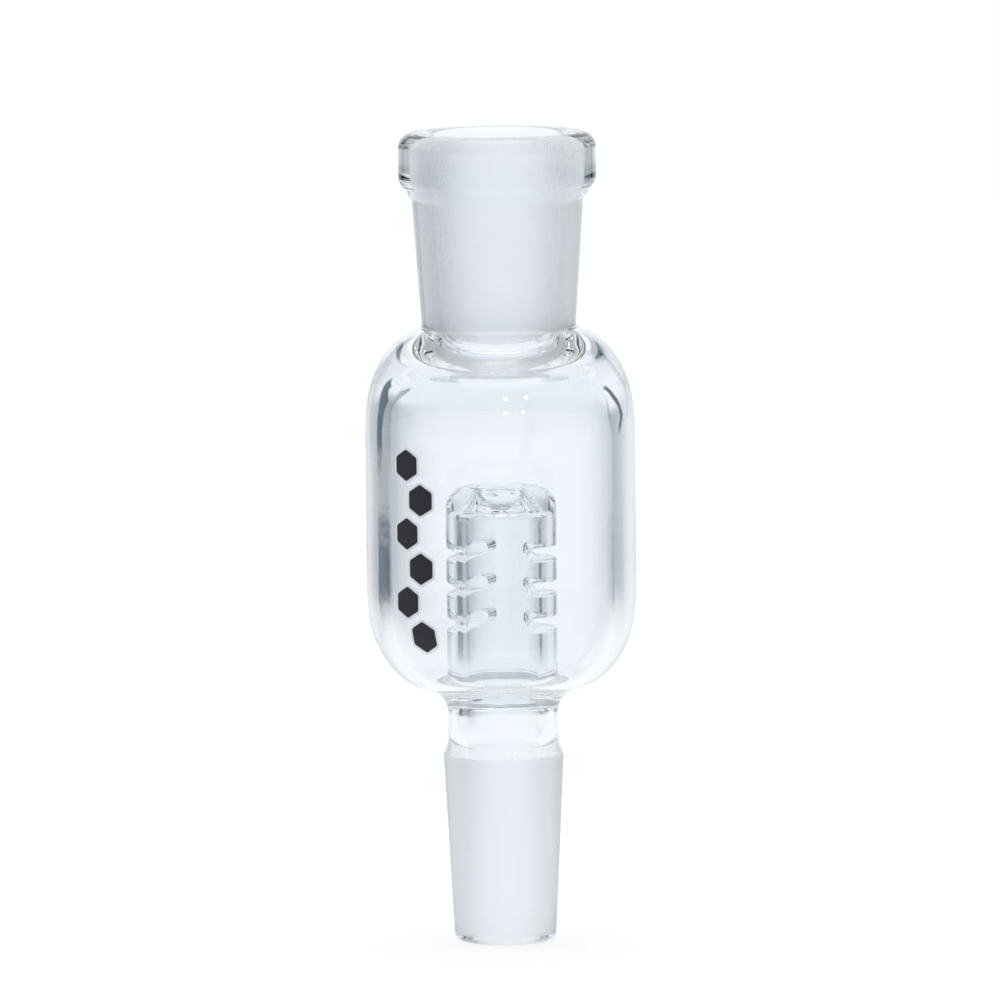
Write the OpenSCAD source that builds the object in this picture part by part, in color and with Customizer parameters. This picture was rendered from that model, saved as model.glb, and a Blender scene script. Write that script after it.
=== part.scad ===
// Anti-splash vapour trap in borosilicate glass with 14/23 ground joints.
// A ground cone at the bottom, a round trap chamber with a slotted inner
// diffuser tube, and a collared ground socket at the top.
// All lengths are millimetres. The axis is +Z and the origin is the centre of
// the cone's tip, the lowest point of the part.

/* [Ground joints] */
// Largest diameter of the standard 1:10 taper
joint_d = 14.5; // [14.5:0.1:15]
// Length of the ground zone on the cone
joint_len = 23; // [19:0.5:24]
// Length of the ground zone in the socket
socket_len = 24; // [19:0.5:26]
// Diameter of the bore through the cone, its neck and the diffuser tube
bore_d = 8.7; // [6:0.1:9]
// Diameter of the clear neck between the cone and the chamber
neck_d = 13.3; // [12.5:0.1:13.9]

/* [Chamber] */
// Outside diameter of the chamber
chamber_d = 32.4; // [31.6:0.1:36]
// Wall thickness of the chamber
chamber_wall_t = 2.7; // [2:0.1:2.8]
// Height of the plane where the rounded base becomes the straight wall
wall_bottom = 42; // [41.5:0.5:43]
// Length of the straight wall
wall_len = 20.6; // [16:0.2:26]
// Height of the rounded base and of the rounded shoulder
dome_h = 11.5; // [11.2:0.1:11.8]
// Inward reach of the rounded base and of the rounded shoulder
dome_reach = 8; // [7.6:0.1:8.4]

/* [Socket] */
// Wall thickness of the socket barrel at its lower end
socket_wall_t = 3.2; // [2.8:0.1:3.4]
// Outside diameter of the collar
collar_d = 23.7; // [23.4:0.1:26]
// Height of the collar, from its lower fillet to its crown
collar_h = 8.5; // [8:0.1:10]

/* [Diffuser] */
// Outside diameter of the diffuser tube
diffuser_d = 13.3; // [12.6:0.1:13.4]
// Height of the diffuser's top above the cone's tip
diffuser_top = 55; // [54:0.1:58]
// Height of the diffuser's pierced end
cap_h = 4; // [3.8:0.1:4.4]
// Rise of the vault inside the pierced end
cap_vault = 1.6; // [1.2:0.1:2]
// Diameter of the hole in the pierced end
cap_hole_d = 4.7; // [3:0.1:5]
// Height of a saw cut
cut_h = 1.5; // [1:0.1:2]
// Distance from one saw cut to the next one below it
cut_pitch = 4.18; // [3.8:0.02:4.4]
// Height of the highest pair of saw cuts
cut_top = 47.1; // [46:0.1:48]
// Distance from the tube's axis to the bottom of a cut
cut_depth_r = 3.4; // [3:0.1:3.8]
// Turn of the left cuts towards the back, in degrees
left_turn = 23; // [0:1:30]
// Turn of the right cuts towards the front, in degrees
right_turn = 4; // [0:1:30]
// Rise of the left cuts towards their back end, in degrees
left_tilt = 3; // [0:0.5:6]
// Rise of the right cuts towards their front end, in degrees
right_tilt = 1.5; // [0:0.5:6]

/* [Printed mark] */
// Thickness of each of the two layers of enamel
print_t = 0.03; // [0.02:0.01:0.1]
// Turn of the mark to the left of the front, in degrees
mark_turn = 40; // [0:1:60]
// Height of the mark's lower end
mark_bottom = 36.6; // [36:0.1:39]
// Distance from the middle of one cell of the mark to the next
mark_pitch = 4.1; // [3.8:0.1:4.4]
// Width of a cell of the mark across its flats
mark_cell = 3.3; // [2.6:0.1:3.4]
// Width of the light border round each cell
mark_border = 0.3; // [0.2:0.05:0.3]

/* [Hidden] */
$fn = 96;
ARC_STEPS = 10;      // segments in a quarter of a rounded profile
TAPER = 1 / 20;      // change of radius per unit of length in a 1:10 taper
bore_r = bore_d / 2;
neck_r = neck_d / 2;

// Ground cone and its neck
cone_tip_r = joint_d / 2 - joint_len * TAPER;
tip_round_out = 0.9;
tip_round_in = 0.6;
cone_edge = 0.2;     // step from the ground edge in to the clear neck
neck_flare_h = 1.9;
neck_low = joint_len + neck_flare_h;
edge_r = joint_d / 2 - cone_edge;
flare_in = edge_r - neck_r;
neck_flare_r = (flare_in * flare_in + neck_flare_h * neck_flare_h) / (2 * flare_in);
neck_flare_a = asin(neck_flare_h / neck_flare_r);
neck_fillet_r = 3;
neck_high = wall_bottom - dome_h - neck_fillet_r + 0.1;
neck_split_a = 150;  // where the neck's fillet passes into the ring seal
seal_top_a = 98;     // where the fillet meets the base
neck_split_z = neck_high + neck_fillet_r * sin(neck_split_a);

// Chamber
chamber_r = chamber_d / 2;
chamber_in_r = chamber_r - chamber_wall_t;
wall_top = wall_bottom + wall_len;
dome_a = 80;         // how far round its ellipse each outer dome runs
floor_reach = 6;
floor_h = 10;
floor_a = 83;
roof_reach = 5.9;
roof_h = 7.25;
roof_a = 80;

// Socket
socket_low = wall_top + 9.4;
socket_high = socket_low + socket_len;
rim_r = joint_d / 2;
throat_r = rim_r - socket_len * TAPER;
throat_round = 0.9;
barrel_low = socket_low + 2.4;
barrel_low_r = throat_r + socket_wall_t;
barrel_slope = 0.068;
rim_round = 1.5;
top_z = socket_high + rim_round;
collar_low = top_z - collar_h;
collar_low_r = barrel_low_r + (collar_low - barrel_low) * barrel_slope;
collar_r = collar_d / 2;
collar_fillet = 1.2;
collar_belly = 1.6;
collar_belly_z = top_z - 5.3;
crown_round = 1.9;

// Diffuser
diffuser_r = diffuser_d / 2;
diffuser_fillet = 1;
floor_z = wall_bottom - floor_h;
diffuser_low = floor_z + diffuser_fillet;
cap_low = diffuser_top - cap_h;
cap_hole_r = cap_hole_d / 2;
cap_round = 2.6;
cap_lip = 0.8;
cap_vault_edge = 0.3;
cut_rows = 3;

// Mark
mark_cells = 6;
mark_step = 1.05;    // sideways step of every other cell

// Points along an elliptical arc in the profile plane, from angle a0 to a1
function arc(r, z, reach, height, a0, a1) =
    let (steps = max(2, ceil(ARC_STEPS * abs(a1 - a0) / 90)))
    [for (i = [0 : steps]) let (a = a0 + (a1 - a0) * i / steps)
        [r + reach * cos(a), z + height * sin(a)]];

// The same for a circular arc
function round_arc(r, z, radius, a0, a1) = arc(r, z, radius, radius, a0, a1);

// Outer surface of the base, thicker by grow, from its lower edge up
function base_outside(grow = 0) =
    arc(chamber_r - dome_reach, wall_bottom, dome_reach + grow, dome_h + grow, -dome_a, 0);

// Outer surface of the shoulder, from the wall up
function shoulder_outside() =
    arc(chamber_r - dome_reach, wall_top, dome_reach, dome_h, 0, dome_a);

// Inner floor of the base, from the straight wall down
function base_inside() =
    arc(chamber_in_r - floor_reach, wall_bottom, floor_reach, floor_h, 0, -floor_a);

// Inner roof of the shoulder, from the throat down
function shoulder_inside() =
    arc(chamber_in_r - roof_reach, wall_top, roof_reach, roof_h, roof_a, 0);

module turned(points) {
    rotate_extrude()
        polygon(points);
}

// Thick bead round the socket's mouth
module socket_collar() {
    color("lightsteelblue", 0.5)
        turned(concat(
            [[throat_r + (collar_low - socket_low) * TAPER, collar_low]],
            round_arc(collar_low_r + collar_fillet, collar_low, collar_fillet, 180, 135),
            round_arc(collar_r - collar_belly, collar_belly_z, collar_belly, -50, 0),
            round_arc(collar_r - crown_round, top_z - crown_round, crown_round, 0, 90),
            round_arc(rim_r + rim_round, socket_high, rim_round, 90, 180)
        ));
}

// Barrel whose inside is the ground taper
module ground_socket() {
    color("whitesmoke", 0.8)
        turned([
            [throat_r, socket_low],
            [barrel_low_r, barrel_low],
            [collar_low_r, collar_low],
            [throat_r + (collar_low - socket_low) * TAPER, collar_low]
        ]);
}

// Clear throat below the taper, welded to the shoulder
module socket_throat() {
    color("lightsteelblue", 0.5)
        turned(concat(
            [
                [throat_r, socket_low],
                [barrel_low_r, barrel_low],
                shoulder_outside()[len(shoulder_outside()) - 1],
                shoulder_inside()[0]
            ],
            round_arc(throat_r + throat_round, wall_top + roof_h + throat_round, throat_round, 270, 180)
        ));
}

module chamber_shoulder() {
    color("aliceblue", 0.5)
        turned(concat(shoulder_outside(), shoulder_inside()));
}

module chamber_wall() {
    color("aliceblue", 0.5)
        translate([0, 0, wall_bottom])
            difference() {
                cylinder(h = wall_len, r = chamber_r);
                translate([0, 0, -1])
                    cylinder(h = wall_len + 2, r = chamber_in_r);
            }
}

module chamber_base() {
    color("aliceblue", 0.5)
        turned(concat(base_outside(), base_inside()));
}

// Weld that joins the chamber's base, the diffuser tube and the cone's neck
module ring_seal() {
    color("lightsteelblue", 0.5)
        turned(concat(
            [[bore_r, diffuser_low], [bore_r, neck_split_z]],
            round_arc(neck_r + neck_fillet_r, neck_high, neck_fillet_r, neck_split_a, seal_top_a),
            [base_outside()[0], base_inside()[len(base_inside()) - 1]],
            round_arc(diffuser_r + diffuser_fillet, diffuser_low, diffuser_fillet, 270, 180)
        ));
}

// One saw cut with a round bottom, open towards +X
module saw_cut() {
    reach = 2 * diffuser_r;
    translate([cut_depth_r + cut_h / 2, 0, 0]) {
        rotate([90, 0, 0])
            cylinder(h = 2 * reach, d = cut_h, center = true);
        translate([0, -reach, -cut_h / 2])
            cube([reach, 2 * reach, cut_h]);
    }
}

module diffuser_tube() {
    color("lightcyan", 0.5)
        difference() {
            translate([0, 0, diffuser_low])
                cylinder(h = cap_low - diffuser_low, r = diffuser_r);
            translate([0, 0, diffuser_low - 1])
                cylinder(h = cap_low - diffuser_low + 2, r = bore_r);
            for (row = [0 : cut_rows - 1]) {
                translate([0, 0, cut_top - row * cut_pitch]) {
                    rotate([0, 0, 180 - left_turn])
                        rotate([-left_tilt, 0, 0])
                            saw_cut();
                    rotate([0, 0, -right_turn])
                        rotate([-right_tilt, 0, 0])
                            saw_cut();
                }
            }
        }
}

// Pierced, flame-rounded end of the diffuser
module diffuser_cap() {
    color("lightcyan", 0.5)
        turned(concat(
            [[diffuser_r, cap_low]],
            round_arc(diffuser_r - cap_round, diffuser_top - cap_round, cap_round, 0, 90),
            round_arc(cap_hole_r + cap_lip, diffuser_top - cap_lip, cap_lip, 90, 180),
            [[cap_hole_r, cap_low + cap_vault]],
            arc(cap_hole_r + cap_vault_edge, cap_low,
                bore_r - cap_hole_r - cap_vault_edge, cap_vault, 90, 0)
        ));
}

module cone_neck() {
    color("lightsteelblue", 0.5)
        turned(concat(
            [[bore_r, neck_split_z], [bore_r, joint_len]],
            round_arc(neck_r + neck_flare_r, neck_low, neck_flare_r, 180 + neck_flare_a, 180),
            round_arc(neck_r + neck_fillet_r, neck_high, neck_fillet_r, 180, neck_split_a)
        ));
}

// Cone whose outside is the ground taper
module ground_cone() {
    edge_low = joint_len - 2 * cone_edge;
    color("whitesmoke", 0.8)
        turned(concat(
            [[bore_r, joint_len]],
            round_arc(bore_r + tip_round_in, tip_round_in, tip_round_in, 180, 270),
            round_arc(cone_tip_r - tip_round_out, tip_round_out, tip_round_out, -90, 0),
            [[cone_tip_r + edge_low * TAPER, edge_low], [edge_r, joint_len]]
        ));
}

// Skin on the outside of the chamber, between two distances from the glass
module skin(low, high) {
    rotate_extrude()
        polygon(concat(
            base_outside(high),
            [[chamber_r + high, wall_top], [chamber_r + low, wall_top]],
            [for (i = [len(base_outside()) - 1 : -1 : 0]) base_outside(low)[i]]
        ));
}

// Column of six-sided cells, grown by grow, standing out from the axis
module cells(grow) {
    rotate([0, 0, -90 - mark_turn])
        for (i = [0 : mark_cells - 1]) {
            translate([0, (i % 2 == 0 ? 1 : -1) * mark_step, mark_bottom + mark_cell / 2 + i * mark_pitch])
                rotate([0, 90, 0])
                    cylinder(h = 2 * chamber_r, d = (mark_cell + 2 * grow) / cos(30), $fn = 6);
        }
}

module mark_underlay() {
    color("white")
        intersection() {
            skin(0, print_t);
            cells(mark_border);
        }
}

module mark_motif() {
    color("black")
        intersection() {
            skin(print_t, 2 * print_t);
            cells(0);
        }
}

socket_collar();
ground_socket();
socket_throat();
chamber_shoulder();
chamber_wall();
chamber_base();
ring_seal();
diffuser_tube();
diffuser_cap();
cone_neck();
ground_cone();
mark_underlay();
mark_motif();
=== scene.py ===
import math

import bmesh
import bpy
import numpy as np
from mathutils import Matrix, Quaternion, Vector


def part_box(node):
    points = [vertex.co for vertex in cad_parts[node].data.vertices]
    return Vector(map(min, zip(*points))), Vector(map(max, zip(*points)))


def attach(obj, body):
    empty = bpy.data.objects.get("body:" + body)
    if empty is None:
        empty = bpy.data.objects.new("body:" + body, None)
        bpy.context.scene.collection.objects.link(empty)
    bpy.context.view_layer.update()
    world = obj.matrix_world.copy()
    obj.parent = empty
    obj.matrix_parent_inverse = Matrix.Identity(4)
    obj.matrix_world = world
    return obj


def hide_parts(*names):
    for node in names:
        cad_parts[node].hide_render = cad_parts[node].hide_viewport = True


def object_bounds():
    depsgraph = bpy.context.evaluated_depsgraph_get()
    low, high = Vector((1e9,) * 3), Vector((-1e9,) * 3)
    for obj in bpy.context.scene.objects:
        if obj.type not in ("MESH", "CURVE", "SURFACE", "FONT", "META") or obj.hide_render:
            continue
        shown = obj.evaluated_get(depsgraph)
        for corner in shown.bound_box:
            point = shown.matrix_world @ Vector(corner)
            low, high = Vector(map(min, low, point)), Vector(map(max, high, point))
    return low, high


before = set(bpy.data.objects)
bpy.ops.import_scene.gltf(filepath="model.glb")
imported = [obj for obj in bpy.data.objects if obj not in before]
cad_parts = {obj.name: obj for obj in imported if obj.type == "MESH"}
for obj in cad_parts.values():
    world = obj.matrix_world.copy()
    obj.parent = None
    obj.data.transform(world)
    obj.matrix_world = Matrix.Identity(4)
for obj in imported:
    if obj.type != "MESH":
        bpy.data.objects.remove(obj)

cad_low, cad_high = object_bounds()

# Lengths below are millimetres, because glass is drawn in them; MM turns them into metres.
MM = 0.001


def box_mm(node):
    """Lowest and highest corner of a CAD node's box, in millimetres."""
    low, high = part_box(node)
    return Vector(low) / MM, Vector(high) / MM


# ---------------------------------------------------------------- sizes, from the frame
_, cone_high = box_mm("ground_cone")
_, neck_high = box_mm("cone_neck")
wall_low, wall_high = box_mm("chamber_wall")
barrel_low, barrel_high = box_mm("ground_socket")
collar_low, collar_high = box_mm("socket_collar")
tube_low, tube_high = box_mm("diffuser_tube")
cap_low, cap_high = box_mm("diffuser_cap")

# Cone and neck
TAPER = 1 / 20
JOINT_R = 7.25
JOINT_LEN = cone_high.z
BORE_R = 4.35
TIP_IN = 0.6          # rounding of the tip towards the bore
TIP_OUT = 0.9         # rounding of the tip towards the ground face
EDGE = 0.2
EDGE_IN = 0.04        # how far in the ground face has come where its top edge begins
EDGE_DIR = (-0.5, 0.8)
FLARE_H = 1.9
NECK_R = 6.65
NECK_HIGH = JOINT_LEN + 4.6
NECK_FILLET_R = 3.0
SPLIT_TURN = 150      # degrees round the fillet where the neck ends and the ring seal begins
SEAM_TURN = 105       # degrees round the fillet where it gives way to the seam of the seal
SEAM_DIR = (0.97, 0.26)

# Chamber
WALL_T = 2.7
CHAMBER_R = wall_high.x
INNER_R = CHAMBER_R - WALL_T

# Rounded base and shoulder: half axes of the outer and inner ellipses, and how far round they run
DOME = (8.0, 11.5, 80)
FLOOR = (6.0, 10.0, 83)
ROOF = (5.9, 7.25, 80)
ROOF_DROP = 0.17      # slope of the roof where it meets the rounded shoulder

# Socket and its collar
TOP = collar_high.z
COLLAR_R = collar_high.x
RIM_R = 1.5
CROWN_R = 1.9
BELLY_R = 1.6
BELLY_Z = TOP - 5.3
COLLAR_FILLET = 1.2
SOCKET_HIGH = TOP - RIM_R
SOCKET_LOW = barrel_low.z
SOCKET_WALL_T = 3.2
BARREL_FOOT_H = 2.5
BARREL_DIR = (0.07, 1)
THROAT_R = JOINT_R - (SOCKET_HIGH - SOCKET_LOW) * TAPER
THROAT_ROUND = 0.3
OVERRUN = 1.5         # how far the grinding runs on into the throat

# Diffuser: its foot, and the hole, lip and vault of its closed end
TUBE_R = tube_high.x
TUBE_FILLET = 1
CAP_HOLE_R = 2.35
CAP_ROUND = 2.6
CAP_LIP = 0.8
CAP_VAULT = 1.6
CAP_EDGE = 0.3
VAULT_IN = 0.6 * CAP_EDGE
VAULT_DIR = (0.9, -0.42)
VAULT_FOOT = 0.45

# How far each kind of surface wanders from its true shape
TRUE = 0.0            # drawn, pressed or ground to size
STEADY = 0.004        # worked on a mandrel
BLENDED = 0.01        # melted together and evened out
BLOWN = 0.012         # shaped by hand in the flame
REAMED = 0.02         # the bore inside the neck
UNEVEN = 0.06         # the inside of the base, where the diffuser is sealed in
RIPPLED = 0.12        # the bore inside the ring seal

AROUND = 192          # points round the axis
LINE_STEP = 0.8       # spacing along straight stretches
ARC_STEP = 4.0        # degrees between points along arcs
SAME_POINT = 0.06     # stretches whose ends are closer than this share one point
NOISE_SEED = 11


# ---------------------------------------------------------------- outline of the glass
def line(start, end):
    """Evenly spaced (r, z) points from start to end."""
    steps = max(1, math.ceil(math.dist(start, end) / LINE_STEP))
    return [
        (start[0] + (end[0] - start[0]) * i / steps, start[1] + (end[1] - start[1]) * i / steps)
        for i in range(steps + 1)
    ]


def arc(r, z, reach, height, start, end):
    """Points of an ellipse round (r, z) with half axes reach and height, between two turns in degrees."""
    steps = max(3, math.ceil(abs(end - start) / ARC_STEP))
    turns = [math.radians(start + (end - start) * i / steps) for i in range(steps + 1)]
    return [(r + reach * math.cos(t), z + height * math.sin(t)) for t in turns]


def curve(start, start_dir, end, end_dir, steps=8):
    """Smooth bridge from start to end that leaves and arrives in the two directions."""
    reach = math.dist(start, end)
    points = []
    for i in range(steps + 1):
        t = i / steps
        weights = (
            2 * t**3 - 3 * t**2 + 1,
            (t**3 - 2 * t**2 + t) * reach,
            3 * t**2 - 2 * t**3,
            (t**3 - t**2) * reach,
        )
        points.append(
            tuple(
                weights[0] * start[k] + weights[1] * start_dir[k]
                + weights[2] * end[k] + weights[3] * end_dir[k]
                for k in (0, 1)
            )
        )
    return points


def dome_point(centre_r, centre_z, shape, side):
    """End point of an ellipse and its direction there, outwards along the ellipse."""
    reach, height, turn = shape
    t = math.radians(turn) * side
    return (
        (centre_r + reach * math.cos(t), centre_z + height * math.sin(t)),
        np.array([-reach * math.sin(t), height * math.cos(t)]) * side / math.hypot(
            reach * math.sin(t), height * math.cos(t)),
    )


def taper_r(z):
    """Radius of the socket's ground taper at a height."""
    return THROAT_R + (z - SOCKET_LOW) * TAPER


# Heights and radii where stretches of the outline meet, and the centres of its ellipses
outer_centre = CHAMBER_R - DOME[0]
floor_centre = INNER_R - FLOOR[0]
roof_centre = INNER_R - ROOF[0]
wall_bottom, wall_top = wall_low.z, wall_high.z
base_end, base_dir = dome_point(outer_centre, wall_bottom, DOME, -1)
shoulder_end, shoulder_dir = dome_point(outer_centre, wall_top, DOME, 1)
floor_end, _ = dome_point(floor_centre, wall_bottom, FLOOR, -1)
roof_end, _ = dome_point(roof_centre, wall_top, ROOF, 1)
floor_z = wall_bottom - FLOOR[1]
roof_z = wall_top + ROOF[1]
tube_foot = tube_low.z
weld_cap = cap_low.z
collar_z = collar_low.z
collar_foot_r = barrel_high.x
barrel_foot = (THROAT_R + SOCKET_WALL_T, SOCKET_LOW + BARREL_FOOT_H)

cone_tip_r = JOINT_R - JOINT_LEN * TAPER
taper_end = (JOINT_R - EDGE_IN, JOINT_LEN - 2 * EDGE)
edge_r = JOINT_R - EDGE
flare_in = edge_r - NECK_R
flare_r = (flare_in**2 + FLARE_H**2) / (2 * flare_in)
flare_turn = math.degrees(math.asin(FLARE_H / flare_r))
neck_start = JOINT_LEN + FLARE_H
fillet_centre = (NECK_R + NECK_FILLET_R, NECK_HIGH)
split_z = neck_high.z
seal_end = (fillet_centre[0] + NECK_FILLET_R * math.cos(math.radians(SEAM_TURN)),
            fillet_centre[1] + NECK_FILLET_R * math.sin(math.radians(SEAM_TURN)))
roof_dir = (math.sin(math.radians(ROOF[2])), -ROOF_DROP)
throat_foot = roof_z + THROAT_ROUND
cap_shoulder = cap_high.z - CAP_ROUND
lip_z = cap_high.z - CAP_LIP
vault_z = weld_cap + CAP_VAULT
vault_foot = (BORE_R, weld_cap + VAULT_FOOT)

# Each stretch: name, points in order, surface, and how far the surface wanders.
# The outline runs up the outside, over the crown, down the inside and back down the bore,
# so the glass is always on its left.
STRETCHES = [
    ("tip_in", arc(BORE_R + TIP_IN, TIP_IN, TIP_IN, TIP_IN, 180, 270), "clear", TRUE),
    ("tip_out", arc(cone_tip_r - TIP_OUT, TIP_OUT, TIP_OUT, TIP_OUT, -90, 0), "clear", TRUE),
    ("cone_taper", line((cone_tip_r, TIP_OUT), taper_end), "ground", TRUE),
    ("cone_edge", curve(taper_end, (0, 1), (edge_r, JOINT_LEN), EDGE_DIR, 5), "clear", TRUE),
    ("neck_flare", arc(NECK_R + flare_r, neck_start, flare_r, flare_r, 180 + flare_turn, 180),
     "clear", BLOWN),
    ("neck_wall", line((NECK_R, neck_start), (NECK_R, NECK_HIGH)), "clear", BLOWN),
    ("neck_fillet", arc(*fillet_centre, NECK_FILLET_R, NECK_FILLET_R, 180, SPLIT_TURN), "clear", BLENDED),
    ("seal_fillet", arc(*fillet_centre, NECK_FILLET_R, NECK_FILLET_R, SPLIT_TURN, SEAM_TURN),
     "clear", BLENDED),
    ("seal_seam", curve(seal_end, SEAM_DIR, base_end, -base_dir, 8), "clear", BLOWN),
    ("base_outer", arc(outer_centre, wall_bottom, DOME[0], DOME[1], -DOME[2], 0), "clear", TRUE),
    ("wall_outer", line((CHAMBER_R, wall_bottom), (CHAMBER_R, wall_top)), "clear", TRUE),
    ("shoulder_outer", arc(outer_centre, wall_top, DOME[0], DOME[1], 0, DOME[2]), "clear", TRUE),
    ("throat_outer", curve(shoulder_end, shoulder_dir, barrel_foot, BARREL_DIR, 8), "clear", BLOWN),
    ("barrel_outer", line(barrel_foot, (collar_foot_r, collar_z)), "clear", STEADY),
    ("collar_fillet", arc(collar_foot_r + COLLAR_FILLET, collar_z, COLLAR_FILLET, COLLAR_FILLET, 180, 135),
     "clear", TRUE),
    ("collar_belly", arc(COLLAR_R - BELLY_R, BELLY_Z, BELLY_R, BELLY_R, -50, 0), "clear", TRUE),
    ("collar_side", line((COLLAR_R, BELLY_Z), (COLLAR_R, TOP - CROWN_R)), "clear", TRUE),
    ("crown", arc(COLLAR_R - CROWN_R, TOP - CROWN_R, CROWN_R, CROWN_R, 0, 90), "clear", TRUE),
    ("crown_top", line((COLLAR_R - CROWN_R, TOP), (JOINT_R + RIM_R, TOP)), "clear", TRUE),
    ("rim", arc(JOINT_R + RIM_R, SOCKET_HIGH, RIM_R, RIM_R, 90, 180), "clear", TRUE),
    ("taper_high", line((JOINT_R, SOCKET_HIGH), (taper_r(collar_z), collar_z)), "ground", TRUE),
    ("taper_low", line((taper_r(collar_z), collar_z), (THROAT_R, SOCKET_LOW)), "ground", TRUE),
    ("throat_edge", line((THROAT_R, SOCKET_LOW), (THROAT_R, SOCKET_LOW - OVERRUN)), "ground", TRUE),
    ("throat", line((THROAT_R, SOCKET_LOW - OVERRUN), (THROAT_R, throat_foot)), "clear", BLENDED),
    ("throat_round", arc(THROAT_R + THROAT_ROUND, throat_foot, THROAT_ROUND, THROAT_ROUND, 180, 270),
     "clear", BLENDED),
    ("roof", curve((THROAT_R + THROAT_ROUND, roof_z), (1, 0), roof_end, roof_dir, 4), "clear", BLOWN),
    ("shoulder_inner", arc(roof_centre, wall_top, ROOF[0], ROOF[1], ROOF[2], 0), "clear", TRUE),
    ("wall_inner", line((INNER_R, wall_top), (INNER_R, wall_bottom)), "clear", TRUE),
    ("base_inner", arc(floor_centre, wall_bottom, FLOOR[0], FLOOR[1], 0, -FLOOR[2]), "clear", TRUE),
    ("floor", line(floor_end, (TUBE_R + TUBE_FILLET, floor_z)), "clear", UNEVEN),
    ("floor_fillet", arc(TUBE_R + TUBE_FILLET, tube_foot, TUBE_FILLET, TUBE_FILLET, 270, 180),
     "clear", TRUE),
    ("tube_outer", line((TUBE_R, tube_foot), (TUBE_R, weld_cap)), "clear", TRUE),
    ("cap_side", line((TUBE_R, weld_cap), (TUBE_R, cap_shoulder)), "clear", TRUE),
    ("cap_round", arc(TUBE_R - CAP_ROUND, cap_shoulder, CAP_ROUND, CAP_ROUND, 0, 90), "clear", TRUE),
    ("cap_lip", arc(CAP_HOLE_R + CAP_LIP, lip_z, CAP_LIP, CAP_LIP, 90, 180), "clear", TRUE),
    ("cap_hole", line((CAP_HOLE_R, lip_z), (CAP_HOLE_R, vault_z + CAP_EDGE)), "clear", TRUE),
    ("cap_under", arc(CAP_HOLE_R + CAP_EDGE, vault_z + CAP_EDGE, CAP_EDGE, CAP_EDGE, 180, 245),
     "clear", TRUE),
    ("cap_vault", curve((CAP_HOLE_R + VAULT_IN, vault_z), VAULT_DIR, vault_foot, (0, -1), 10),
     "clear", TRUE),
    ("cap_wall", line(vault_foot, (BORE_R, weld_cap)), "clear", TRUE),
    ("tube_bore", line((BORE_R, weld_cap), (BORE_R, tube_foot)), "clear", TRUE),
    ("seal_bore", line((BORE_R, tube_foot), (BORE_R, split_z)), "clear", RIPPLED),
    ("neck_bore", line((BORE_R, split_z), (BORE_R, JOINT_LEN)), "clear", REAMED),
    ("cone_bore", line((BORE_R, JOINT_LEN), (BORE_R, TIP_IN)), "clear", TRUE),
]


class Outline:
    """The whole glass as one closed grid of points: rows along the outline, columns round the axis."""

    def __init__(self, stretches):
        points, sway, kinds, self.rows = [], [], [], {}
        for name, path, kind, amount in stretches:
            first = max(len(points) - 1, 0)
            if points and math.dist(points[-1], path[0]) < SAME_POINT:
                path = path[1:]
            points += path
            sway += [amount] * len(path)
            kinds += [kind] * (len(points) - 1 - len(kinds))
            self.rows[name] = (first, len(points) - 1)
        points.pop()
        sway.pop()
        flat = np.array(points)
        self.count = len(flat)
        self.kinds = kinds
        sway = np.array(sway)
        for _ in range(3):
            sway = (np.roll(sway, 1) + sway * 2 + np.roll(sway, -1)) / 4
        along = np.concatenate([[0], np.cumsum(np.hypot(*np.diff(flat, axis=0).T))])
        for name in ("wall_outer", "wall_inner"):
            for row in self.rows[name]:
                flat = self.eased(flat, along, row)
        tangent = np.roll(flat, -1, 0) - np.roll(flat, 1, 0)
        across = np.stack([tangent[:, 1], -tangent[:, 0]], 1)
        across /= np.linalg.norm(across, axis=1)[:, None]
        turn = np.arange(AROUND) * 2 * math.pi / AROUND
        wander = sway[:, None] * self.noise(along, turn)
        radius = flat[:, 0, None] + across[:, 0, None] * wander
        height = flat[:, 1, None] + across[:, 1, None] * wander
        self.points = np.stack([radius * np.cos(turn), radius * np.sin(turn), height], -1)
        down = np.roll(self.points, -1, 0) - np.roll(self.points, 1, 0)
        round_ = np.roll(self.points, -1, 1) - np.roll(self.points, 1, 1)
        normals = np.cross(round_, down)
        self.normals = normals / np.linalg.norm(normals, axis=2)[..., None]

    @staticmethod
    def eased(flat, along, row, reach=5.0, blur=1.6):
        """Let the bend start gently where a straight wall runs into a rounded end."""
        spacing = np.gradient(along)
        soft = flat.copy()
        for i in np.flatnonzero(np.abs(along - along[row]) < reach):
            weights = spacing * np.exp(-0.5 * ((along - along[i]) / blur) ** 2)
            share = math.cos(math.pi / 2 * (along[i] - along[row]) / reach) ** 2
            soft[i] += (weights @ flat / weights.sum() - flat[i]) * share
        return soft

    @staticmethod
    def noise(along, turn):
        """Slow hand-made unevenness in -1 to 1, the same on every run."""
        draw = np.random.RandomState(NOISE_SEED)
        total, weight = 0, 0
        for waves in (1, 2, 3, 3, 5, 7, 9, 12):
            length = draw.uniform(3, 14) / (1 + waves / 6)
            phase = draw.uniform(0, 2 * math.pi, 2)
            share = 1 / (1 + 0.25 * waves)
            total = total + share * np.sin(
                waves * turn[None, :] + phase[0] + 1.2 * np.sin(along[:, None] / 9 + phase[1])
            ) * np.cos(2 * math.pi * along[:, None] / length + phase[1])
            weight += share
        return total / weight * 2

    def slice(self, names):
        """Row numbers of neighbouring stretches, in order."""
        first, last = self.rows[names[0]][0], self.rows[names[-1]][1]
        if last < first:
            last += self.count
        return [i % self.count for i in range(first, last + 1)]


outline = Outline(STRETCHES)


# ---------------------------------------------------------------- materials
GLASS_IOR = 1.473


def new_material(name):
    """An empty node material and its node tree."""
    material = bpy.data.materials.new(name)
    material.use_nodes = True
    material.node_tree.nodes.clear()
    return material, material.node_tree


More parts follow.
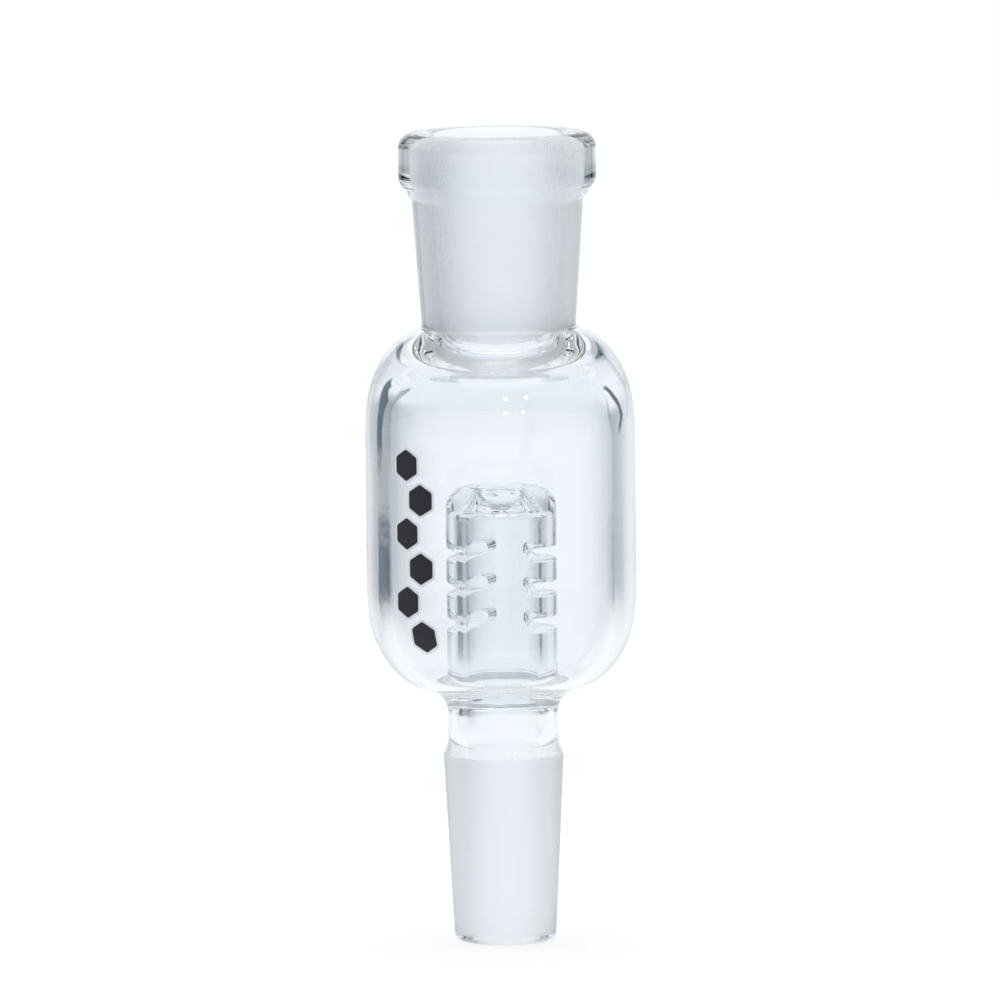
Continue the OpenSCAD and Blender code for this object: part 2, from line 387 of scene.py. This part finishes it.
def add(tree, kind, **inputs):
    """A shader node with values on its own sockets; spaces in their names are written as underscores."""
    node = tree.nodes.new(kind)
    for key, value in inputs.items():
        node.inputs[key.replace("_", " ")].default_value = value
    return node


def glass_material(name, colour, rough, bump_scale, bump_height, bump_detail):
    """Borosilicate glass with a fine unevenness, its height in metres."""
    material, tree = new_material(name)
    out = add(tree, "ShaderNodeOutputMaterial")
    glass = add(tree, "ShaderNodeBsdfPrincipled", Base_Color=(*colour, 1), Roughness=rough,
                IOR=GLASS_IOR, Transmission_Weight=1.0)
    place = add(tree, "ShaderNodeTexCoord")
    grain = add(tree, "ShaderNodeTexNoise", Scale=bump_scale, Detail=bump_detail, Roughness=0.6)
    bump = add(tree, "ShaderNodeBump", Strength=1.0, Distance=bump_height)
    tree.links.new(place.outputs["Object"], grain.inputs["Vector"])
    tree.links.new(grain.outputs["Fac"], bump.inputs["Height"])
    tree.links.new(bump.outputs["Normal"], glass.inputs["Normal"])
    tree.links.new(glass.outputs["BSDF"], out.inputs["Surface"])
    return material


def weld_material():
    """Inside the glass, where two pieces are fused: nothing to see."""
    material, tree = new_material("fused_inside")
    out = add(tree, "ShaderNodeOutputMaterial")
    clear = add(tree, "ShaderNodeBsdfTransparent")
    tree.links.new(clear.outputs["BSDF"], out.inputs["Surface"])
    return material


def enamel_material(name, low, high, rough):
    """Fired print: grainy, a little worn, satin."""
    material, tree = new_material(name)
    out = add(tree, "ShaderNodeOutputMaterial")
    enamel = add(tree, "ShaderNodeBsdfPrincipled", IOR=1.5, Specular_IOR_Level=0.2)
    place = add(tree, "ShaderNodeTexCoord")
    grain = add(tree, "ShaderNodeTexNoise", Scale=9000, Detail=3.0, Roughness=0.65)
    tone = tree.nodes.new("ShaderNodeValToRGB")
    tone.color_ramp.elements[0].position = 0.3
    tone.color_ramp.elements[0].color = (*low, 1)
    tone.color_ramp.elements[1].position = 0.7
    tone.color_ramp.elements[1].color = (*high, 1)
    dull = add(tree, "ShaderNodeMapRange", To_Min=rough - 0.08, To_Max=rough + 0.1)
    bump = add(tree, "ShaderNodeBump", Strength=0.5, Distance=0.00001)
    tree.links.new(place.outputs["Object"], grain.inputs["Vector"])
    tree.links.new(grain.outputs["Fac"], tone.inputs["Fac"])
    tree.links.new(grain.outputs["Fac"], dull.inputs["Value"])
    tree.links.new(grain.outputs["Fac"], bump.inputs["Height"])
    tree.links.new(tone.outputs["Color"], enamel.inputs["Base Color"])
    tree.links.new(dull.outputs["Result"], enamel.inputs["Roughness"])
    tree.links.new(bump.outputs["Normal"], enamel.inputs["Normal"])
    tree.links.new(enamel.outputs["BSDF"], out.inputs["Surface"])
    return material


CLEAR = glass_material("clear_borosilicate", colour=(0.935, 0.953, 0.972), rough=0.0,
                       bump_scale=260, bump_height=0.000012, bump_detail=2.0)
GROUND = glass_material("ground_borosilicate", colour=(0.965, 0.983, 1.0), rough=0.5,
                        bump_scale=5200, bump_height=0.00004, bump_detail=4.0)
WELD = weld_material()
WHITE = enamel_material("white_enamel", low=(0.72, 0.73, 0.74), high=(0.86, 0.87, 0.88), rough=0.45)
BLACK = enamel_material("black_enamel", low=(0.008, 0.009, 0.012), high=(0.03, 0.033, 0.04), rough=0.35)
GLASS_SLOTS = [CLEAR, GROUND, WELD]
SURFACE_INDEX = {"clear": 0, "ground": 1, "weld": 2}


# ---------------------------------------------------------------- pieces
def finish_piece(name, node, points, faces, kinds, corner_normals, materials):
    """A mesh in metres with its own normals at every face corner, standing for one CAD node."""
    mesh = bpy.data.meshes.new(name)
    mesh.from_pydata([tuple(p) for p in np.asarray(points) * MM], [], faces)
    for material in materials:
        mesh.materials.append(material)
    mesh.polygons.foreach_set("material_index", kinds)
    mesh.polygons.foreach_set("use_smooth", [True] * len(mesh.polygons))
    mesh.normals_split_custom_set(corner_normals)
    mesh.update()
    piece = bpy.data.objects.new(name, mesh)
    bpy.context.scene.collection.objects.link(piece)
    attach(piece, "root")
    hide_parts(node)
    return piece


def turned_piece(name, node, slot, *runs):
    """One blank of glass: runs of the outline, closed by flat weld faces from each run to the next."""
    columns = np.arange(AROUND)
    after = (columns + 1) % AROUND
    points, normals, faces, kinds, corners = [], [], [], [], []
    ends = []
    for names in runs:
        rows = outline.slice(names)
        first = len(points) // AROUND
        points += list(outline.points[rows].reshape(-1, 3))
        normals += list(outline.normals[rows].reshape(-1, 3))
        for i in range(len(rows) - 1):
            a, b = (first + i) * AROUND, (first + i + 1) * AROUND
            for j, k in zip(columns, after):
                face = (int(a + j), int(a + k), int(b + k), int(b + j))
                faces.append(face)
                kinds.append(SURFACE_INDEX[outline.kinds[rows[i]]])
                corners += [normals[v] for v in face]
        ends.append((first, first + len(rows) - 1))
    for index, (_, last) in enumerate(ends):
        start = ends[(index + 1) % len(ends)][0]
        a, b = last * AROUND, start * AROUND
        for j, k in zip(columns, after):
            face = (int(a + j), int(a + k), int(b + k), int(b + j))
            p = [np.array(points[v]) for v in face]
            normal = np.cross(p[1] - p[0], p[3] - p[0])
            faces.append(face)
            kinds.append(SURFACE_INDEX["weld"])
            corners += [normal / np.linalg.norm(normal)] * 4
    return finish_piece(name, node, points, faces, kinds, [tuple(c) for c in corners], GLASS_SLOTS)


turned_piece("ground_cone_glass", "ground_cone", "ground_glass",
             ["cone_bore", "tip_in", "tip_out", "cone_taper", "cone_edge"])
turned_piece("cone_neck_glass", "cone_neck", "clear_glass",
             ["neck_flare", "neck_wall", "neck_fillet"], ["neck_bore"])
turned_piece("ring_seal_glass", "ring_seal", "clear_glass",
             ["seal_fillet", "seal_seam"], ["floor", "floor_fillet"], ["seal_bore"])
turned_piece("chamber_base_glass", "chamber_base", "clear_glass", ["base_outer"], ["base_inner"])
turned_piece("chamber_wall_glass", "chamber_wall", "clear_glass", ["wall_outer"], ["wall_inner"])
turned_piece("chamber_shoulder_glass", "chamber_shoulder", "clear_glass",
             ["shoulder_outer"], ["shoulder_inner"])
turned_piece("socket_throat_glass", "socket_throat", "clear_glass",
             ["throat_outer"], ["throat_edge", "throat", "throat_round", "roof"])
turned_piece("ground_socket_glass", "ground_socket", "ground_glass", ["barrel_outer"], ["taper_low"])
turned_piece("socket_collar_glass", "socket_collar", "clear_glass",
             ["collar_fillet", "collar_belly", "collar_side", "crown", "crown_top", "rim", "taper_high"])
turned_piece("diffuser_cap_glass", "diffuser_cap", "clear_glass",
             ["cap_side", "cap_round", "cap_lip", "cap_hole", "cap_under", "cap_vault", "cap_wall"])


# ---------------------------------------------------------------- diffuser tube with its saw cuts
CUT_ROWS = 3
CUT_TOP = 47.1
CUT_PITCH = 4.18
CUT_H = 1.35
CUT_DEPTH_R = 3.4
CUT_EDGE = 0.3

# Which way each column of cuts faces, and how far its cuts tilt
CUTS = [(math.radians(180 - 23), math.radians(3)), (math.radians(-4), math.radians(1.5))]
GRID = 0.15
FAR = 1e3
PULLS = 5             # times the net's points are drawn on to the surface
LEVEL = 1e-4          # heights closer than this to a weld lie on it


def tube_distance(p):
    """Signed distance to the slotted tube, with flame-softened edges round every cut."""
    r = np.hypot(p[..., 0], p[..., 1])
    tube = np.maximum(r - TUBE_R, BORE_R - r)
    cuts = np.full(r.shape, FAR)
    for turn, tilt in CUTS:
        along = p[..., 0] * math.cos(turn) + p[..., 1] * math.sin(turn)
        side = -p[..., 0] * math.sin(turn) + p[..., 1] * math.cos(turn)
        for row in range(CUT_ROWS):
            level = p[..., 2] - (CUT_TOP - row * CUT_PITCH)
            level = level * math.cos(tilt) + side * math.sin(tilt)
            depth = np.minimum(along - (CUT_DEPTH_R + CUT_H / 2), 0)
            cuts = np.minimum(cuts, np.hypot(depth, level) - CUT_H / 2)
    solid, gap = tube + CUT_EDGE, CUT_EDGE - cuts
    beyond = np.hypot(np.maximum(solid, 0), np.maximum(gap, 0))
    return np.minimum(-CUT_EDGE, np.maximum(solid, gap)) + beyond


def gradient(p, step=1e-4):
    """Which way the distance to the slotted tube grows, and how fast."""
    g = np.empty_like(p)
    for axis in range(3):
        shift = np.zeros(3)
        shift[axis] = step
        g[..., axis] = (tube_distance(p + shift) - tube_distance(p - shift)) / (2 * step)
    return g


def surface_net(low, high, step):
    """Quads round every grid edge that crosses the surface, one point in each crossed cell."""
    axes = [np.arange(low[a], high[a] + step, step) for a in range(3)]
    grid = np.stack(np.meshgrid(*axes, indexing="ij"), -1)
    value = tube_distance(grid)
    inside = value < 0
    shape = np.array(value.shape)
    total = np.zeros((*(shape - 1), 3))
    count = np.zeros(tuple(shape - 1))
    crossings = []
    for axis in range(3):
        here = [slice(None)] * 3
        there = [slice(None)] * 3
        here[axis], there[axis] = slice(0, -1), slice(1, None)
        a, b = value[tuple(here)], value[tuple(there)]
        crossed = inside[tuple(here)] != inside[tuple(there)]
        share = np.where(crossed, a / np.where(crossed, a - b, 1), 0)
        place = grid[tuple(here)].copy()
        place[..., axis] += share * step
        others = [k for k in range(3) if k != axis]
        for du in (0, 1):
            for dv in (0, 1):
                # the cell at offset (-du, -dv) from the edge
                source, target = [slice(None)] * 3, [slice(None)] * 3
                for k, d in zip(others, (du, dv)):
                    source[k] = slice(d, shape[k] - 1 + d)
                    target[k] = slice(0, shape[k] - 1)
                picked = crossed[tuple(source)]
                total[tuple(target)] += np.where(picked[..., None], place[tuple(source)], 0)
                count[tuple(target)] += picked
        crossings.append((axis, others, crossed))
    number = np.full(count.shape, -1)
    number[count > 0] = np.arange(int((count > 0).sum()))
    points = total[count > 0] / count[count > 0][:, None]
    faces = []
    for axis, (u, v), crossed in crossings:
        index = np.argwhere(crossed)
        index = index[(index[:, u] > 0) & (index[:, v] > 0)
                      & (index[:, u] < shape[u] - 1) & (index[:, v] < shape[v] - 1)]
        ring = []
        for du, dv in ((1, 1), (0, 1), (0, 0), (1, 0)):
            cell = index.copy()
            cell[:, u] -= du
            cell[:, v] -= dv
            ring.append(number[tuple(cell.T)])
        quad = np.stack(ring, 1)
        flip = inside[tuple(index.T)] == (axis == 1)
        quad[flip] = quad[flip][:, ::-1]
        faces.append(quad)
    return points, np.concatenate(faces)


def slotted_tube():
    """The diffuser's tube, cut flat at both welds."""
    margin = 3 * GRID
    low = (-TUBE_R - margin, -TUBE_R - margin, tube_foot - 1)
    high = (TUBE_R + margin, TUBE_R + margin, weld_cap + 1)
    points, quads = surface_net(low, high, GRID)
    for _ in range(PULLS):
        slope = gradient(points)
        points = points - slope * (tube_distance(points) / (slope**2).sum(-1))[:, None]
    bm = bmesh.new()
    verts = [bm.verts.new(p) for p in points]
    for quad in quads:
        bm.faces.new([verts[i] for i in quad])
    for z, up in ((tube_foot, -1), (weld_cap, 1)):
        cut = bmesh.ops.bisect_plane(
            bm, geom=bm.verts[:] + bm.edges[:] + bm.faces[:], dist=1e-6,
            plane_co=(0, 0, z), plane_no=(0, 0, up), clear_outer=True)
        rim = [e for e in cut["geom_cut"] if isinstance(e, bmesh.types.BMEdge)]
        bmesh.ops.triangle_fill(bm, use_beauty=True, edges=rim)
    bmesh.ops.recalc_face_normals(bm, faces=bm.faces)
    bm.verts.index_update()
    points = np.array([v.co for v in bm.verts])
    slope = gradient(points)
    slope /= np.linalg.norm(slope, axis=1)[:, None]
    faces, kinds, corners = [], [], []
    for face in bm.faces:
        faces.append([v.index for v in face.verts])
        height = [v.co.z for v in face.verts]
        flat = max(height) - min(height) < 1e-5 and (
            abs(height[0] - tube_foot) < LEVEL or abs(height[0] - weld_cap) < LEVEL)
        kinds.append(SURFACE_INDEX["weld" if flat else "clear"])
        corners += [tuple(face.normal) if flat else tuple(slope[v.index]) for v in face.verts]
    bm.free()
    return finish_piece("diffuser_tube_glass", "diffuser_tube",
                        points, faces, kinds, corners, GLASS_SLOTS)


slotted_tube()


# ---------------------------------------------------------------- printed mark
MARK_TURN = math.radians(-90 - 40)
MARK_CELLS = 6
MARK_BOTTOM = 36.6
MARK_PITCH = 4.1
MARK_CELL = 3.3
MARK_BORDER = 0.3
MARK_STEP = 1.05
PRINT_T = 0.03
PRINT_GAP = 0.004     # keeps each layer clear of the one under it
CORNER_R = 0.35
CORNER_STEPS = 4
RIM_STEP = 0.25
RINGS = 14


def chamber_radius(z):
    """Outer radius of the chamber at a height, on its wall or its rounded base."""
    drop = np.clip((wall_bottom - z) / DOME[1], 0, 1)
    return outer_centre + DOME[0] * np.sqrt(1 - drop**2)


def rounded_hexagon(flat, corner, count):
    """Points round a six-sided cell with rounded corners, point up."""
    points = []
    inner = flat / 2 - corner
    for side in range(6):
        middle = math.radians(60 * side + 30)
        centre = np.array([math.cos(middle), math.sin(middle)]) * inner / math.cos(math.radians(30))
        for i in range(count + 1):
            t = middle + math.radians(-30 + 60 * i / count)
            points.append(centre + corner * np.array([math.cos(t), math.sin(t)]))
    dense = []
    for a, b in zip(points, points[1:] + points[:1]):
        steps = max(1, math.ceil(math.dist(a, b) / RIM_STEP))
        dense += [a + (b - a) * i / steps for i in range(steps)]
    return np.array(dense)


def on_glass(across, up, lift):
    """A point above the chamber's outside, from its place across the mark, its height and its lift."""
    radius = chamber_radius(up)
    turn = MARK_TURN + math.asin(across / radius)
    return ((radius + lift) * math.cos(turn), (radius + lift) * math.sin(turn), up)


def printed_cells(name, node, material, grow, low, high):
    """A layer of print that follows the glass: one thin closed shell for each cell."""
    points, faces = [], []
    rim = rounded_hexagon(MARK_CELL + 2 * grow, CORNER_R + grow, CORNER_STEPS)
    count = len(rim)
    for cell in range(MARK_CELLS):
        centre = np.array([(1 if cell % 2 == 0 else -1) * MARK_STEP,
                           MARK_BOTTOM + MARK_CELL / 2 + cell * MARK_PITCH])
        first = len(points)
        for lift in (high, low):
            for ring in range(RINGS, 0, -1):
                points += [on_glass(across, up, lift) for across, up in centre + rim * ring / RINGS]
            points.append(on_glass(*centre, lift))
        layer = RINGS * count + 1
        for side in (0, 1):
            start = first + side * layer
            for ring in range(RINGS - 1):
                for i in range(count):
                    k = (i + 1) % count
                    quad = [start + ring * count + i, start + ring * count + k,
                            start + (ring + 1) * count + k, start + (ring + 1) * count + i]
                    faces.append(quad if side == 0 else quad[::-1])
            for i in range(count):
                k = (i + 1) % count
                last = start + (RINGS - 1) * count
                tri = [last + i, last + k, start + layer - 1]
                faces.append(tri if side == 0 else tri[::-1])
        for i in range(count):
            k = (i + 1) % count
            faces.append([first + k, first + i, first + layer + i, first + layer + k])
    mesh = bpy.data.meshes.new(name)
    mesh.from_pydata([tuple(np.array(p) * MM) for p in points], [], faces)
    mesh.materials.append(material)
    mesh.polygons.foreach_set("use_smooth", [True] * len(mesh.polygons))
    mesh.set_sharp_from_angle(angle=math.radians(40))
    mesh.update()
    piece = bpy.data.objects.new(name, mesh)
    bpy.context.scene.collection.objects.link(piece)
    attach(piece, "root")
    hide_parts(node)


printed_cells("print_white", "mark_underlay", WHITE, MARK_BORDER, PRINT_GAP, PRINT_T)
printed_cells("print_black", "mark_motif", BLACK, 0.0, PRINT_T + PRINT_GAP, 2 * PRINT_T)


# ---------------------------------------------------------------- studio
# Lengths in the studio are metres.
def stage_mesh(name, points, faces, material):
    """A mesh of the studio, which is no part of the object."""
    mesh = bpy.data.meshes.new(name)
    mesh.from_pydata(points, [], faces)
    mesh.materials.append(material)
    thing = bpy.data.objects.new(name, mesh)
    bpy.context.scene.collection.objects.link(thing)
    return thing


FLOOR_R = 4.0
FLOOR_SIDES = 64
FLOOR_GAP = 0.00002


def floor_material():
    """Pale floor: mostly its own even glow, with some light and shade from the lamps."""
    material, tree = new_material("pale_floor")
    out = add(tree, "ShaderNodeOutputMaterial")
    paper = add(tree, "ShaderNodeBsdfDiffuse", Color=(0.26, 0.27, 0.28, 1))
    glow = add(tree, "ShaderNodeEmission", Color=(1, 1, 1, 1), Strength=0.8)
    both = add(tree, "ShaderNodeAddShader")
    tree.links.new(paper.outputs[0], both.inputs[0])
    tree.links.new(glow.outputs[0], both.inputs[1])
    tree.links.new(both.outputs[0], out.inputs["Surface"])
    return material


corners = [(FLOOR_R * math.cos(t), FLOOR_R * math.sin(t), cad_low.z - FLOOR_GAP)
           for t in (i * 2 * math.pi / FLOOR_SIDES for i in range(FLOOR_SIDES))]
stage_mesh("floor", corners, [tuple(range(FLOOR_SIDES))], floor_material())


def area_lamp(name, place, target, size, power):
    """A round white lamp that faces its target."""
    data = bpy.data.lights.new(name, "AREA")
    data.shape = "DISK"
    data.size = size
    data.energy = power
    lamp = bpy.data.objects.new(name, data)
    lamp.location = place
    lamp.rotation_mode = "QUATERNION"
    lamp.rotation_quaternion = (Vector(target) - Vector(place)).to_track_quat("-Z", "Y")
    bpy.context.scene.collection.objects.link(lamp)
    return lamp


def from_behind(turn, distance, height):
    """A place on the floor plan: turn in degrees to the right of straight behind."""
    t = math.radians(turn)
    return (distance * math.sin(t), distance * math.cos(t), height)


def net_material():
    """Studio net: clear where its cover is 0, a blue close to black where it is 1."""
    material, tree = new_material("studio_net")
    out = add(tree, "ShaderNodeOutputMaterial")
    cover = tree.nodes.new("ShaderNodeAttribute")
    cover.attribute_name = "cover"
    gap = add(tree, "ShaderNodeBsdfTransparent")
    thread = add(tree, "ShaderNodeEmission", Color=(0.0, 0.5, 1, 1), Strength=0.1)
    mix = add(tree, "ShaderNodeMixShader")
    tree.links.new(cover.outputs["Fac"], mix.inputs[0])
    tree.links.new(gap.outputs[0], mix.inputs[1])
    tree.links.new(thread.outputs[0], mix.inputs[2])
    tree.links.new(mix.outputs[0], out.inputs["Surface"])
    return material


NET = net_material()
NET_NEAR, NET_FAR, NET_TOP = 0.1, 0.42, 0.3
NET_LIFT = 0.001
NET_TURN = 85         # degrees the net runs round, from straight behind
LYING_STEPS = 20
STANDING_STEPS = 75


def studio_net(name, side, cover):
    """A net behind the glass that lies on the floor and then stands up; only glass sees it."""
    turns = [side * t for t in range(NET_TURN + 1)]
    path = [(NET_NEAR + (NET_FAR - NET_NEAR) * i / LYING_STEPS, NET_LIFT) for i in range(LYING_STEPS + 1)]
    path += [(NET_FAR, NET_LIFT + (NET_TOP - NET_LIFT) * i / STANDING_STEPS)
             for i in range(1, STANDING_STEPS + 1)]
    points = [from_behind(t, *p) for t in turns for p in path]
    count = len(path)
    faces = [(i * count + k, i * count + k + 1, (i + 1) * count + k + 1, (i + 1) * count + k)
             for i in range(len(turns) - 1) for k in range(count - 1)]
    net = stage_mesh(name, points, faces, NET)
    layer = net.data.attributes.new("cover", "FLOAT", "POINT")
    layer.data.foreach_set("value", [cover(abs(t), *p) for t in turns for p in path])
    for kind in ("camera", "shadow", "diffuse"):
        setattr(net, "visible_" + kind, False)


def rise(value, start, end):
    """0 before start, 1 after end, smooth between."""
    t = min(max((value - start) / (end - start), 0), 1)
    return t * t * (3 - 2 * t)


# Each net has a thin haze, a dense upright core and a dense foot along the floor. Their edges
# go by the turn from straight behind, in degrees, and by height; they were set until the glass
# showed the dark and light edges of the photograph.
FOOT_COVER = 0.9
FOOT_HIGH = (0.002, 0.014)
FOOT_REACH = (0.16, 0.36)


def strip(turn, start, end):
    """1 between the two edges and 0 outside them; each edge is where its fade begins and ends."""
    return rise(turn, *start) * (1 - rise(turn, *end))


def net_cover(haze, core, foot, distance, height):
    """The three parts together, thinner where the net lies close to the glass."""
    lying = rise(distance, NET_NEAR, NET_FAR)
    foot = FOOT_COVER * foot * (1 - rise(height, *FOOT_HIGH))
    return max(haze * lying, core * lying, foot * rise(distance, *FOOT_REACH))


def left_cover(turn, distance, height):
    haze = np.interp(turn, (0, 5, 15, 25, 45, 60, 85), (0, 0.03, 0.22, 0.5, 0.58, 0.6, 0.3))
    haze_top = np.interp(turn, (0, 20, 30, 45), (0.08, 0.11, 0.16, 0.22))
    haze *= 1 - rise(height, 0.75 * haze_top, 1.25 * haze_top)
    start = np.interp(height, (0.1, 0.17, 0.22, 0.28), (29, 21, 15, 14))
    end = np.interp(height, (0.03, 0.1, 0.17, 0.22, 0.28), (41, 42, 44, 30, 27))
    core = 0.96 * strip(turn, (start, start + 4), (end, end + 6))
    core *= strip(height, (-0.004, 0.024), (0.245, 0.262))
    return net_cover(haze, core, strip(turn, (28, 34), (54, 60)), distance, height)


def right_cover(turn, distance, height):
    haze = np.interp(turn, (0, 15, 25, 35, 47, 60, 85), (0, 0.06, 0.2, 0.38, 0.5, 0.55, 0.35))
    haze *= 1 - rise(height, 0.09, 0.14)
    start = np.interp(height, (0.04, 0.075, 0.1, 0.17, 0.3), (35, 29, 30, 35, 35))
    core = 0.97 * strip(turn, (start, start + 3), (start + 7, start + 10))
    core *= strip(height, (0.02, 0.05), (0.25, 0.28))
    return net_cover(haze, core, strip(turn, (50, 55), (63, 68)), distance, height)


studio_net("net_left", -1, left_cover)
studio_net("net_right", 1, right_cover)


def soft_world():
    """Pale blue-white room, dimmer towards the front."""
    world = bpy.data.worlds.new("studio")
    bpy.context.scene.world = world
    world.use_nodes = True
    tree = world.node_tree
    room = tree.nodes["Background"]
    place = tree.nodes.new("ShaderNodeTexCoord")
    axes = tree.nodes.new("ShaderNodeSeparateXYZ")
    dim = add(tree, "ShaderNodeMapRange", From_Min=-0.8, From_Max=0.6, To_Min=0.45, To_Max=1.0)
    room.inputs["Color"].default_value = (0.94, 0.97, 1.0, 1)
    tree.links.new(place.outputs["Generated"], axes.inputs[0])
    tree.links.new(axes.outputs["Y"], dim.inputs["Value"])
    tree.links.new(dim.outputs["Result"], room.inputs["Strength"])


CATCHLIGHT_TURNS = (5, 24)     # degrees to the right of straight in front
CATCHLIGHT_DISTANCE = 1.3
CATCHLIGHT_HEIGHT = 0.67

soft_world()
area_lamp("overhead", (0, 0.1, 1.6), (0, 0, 0), size=1.2, power=4)
for turn in CATCHLIGHT_TURNS:
    t = math.radians(turn)
    place = (CATCHLIGHT_DISTANCE * math.sin(t), -CATCHLIGHT_DISTANCE * math.cos(t), CATCHLIGHT_HEIGHT)
    area_lamp("catchlight", place, (0, 0, 0.06), size=0.1, power=0.25)

# Camera at the photograph's viewing angle: a little above, long lens
FRAME_WIDTH = 0.12
CAMERA_DISTANCE = 1.3
CAMERA_RISE = math.radians(6.2)
CAMERA_ROLL = math.radians(0.65)
AIM = Vector((-0.0001, 0, 0.0532))


def photo_camera():
    data = bpy.data.cameras.new("camera")
    data.sensor_width = 36
    data.lens = data.sensor_width * CAMERA_DISTANCE / FRAME_WIDTH
    camera = bpy.data.objects.new("camera", data)
    bpy.context.scene.collection.objects.link(camera)
    back = Vector((0, -math.cos(CAMERA_RISE), math.sin(CAMERA_RISE)))
    camera.location = AIM + back * CAMERA_DISTANCE
    camera.rotation_mode = "QUATERNION"
    camera.rotation_quaternion = (-back).to_track_quat("-Z", "Y") @ Quaternion((0, 0, 1), -CAMERA_ROLL)
    bpy.context.scene.camera = camera


photo_camera()

scene = bpy.context.scene
scene.view_settings.view_transform = "Standard"
scene.cycles.max_bounces = 32
scene.cycles.transmission_bounces = 32
scene.cycles.glossy_bounces = 12
scene.cycles.transparent_max_bounces = 64
scene.cycles.use_denoising = True
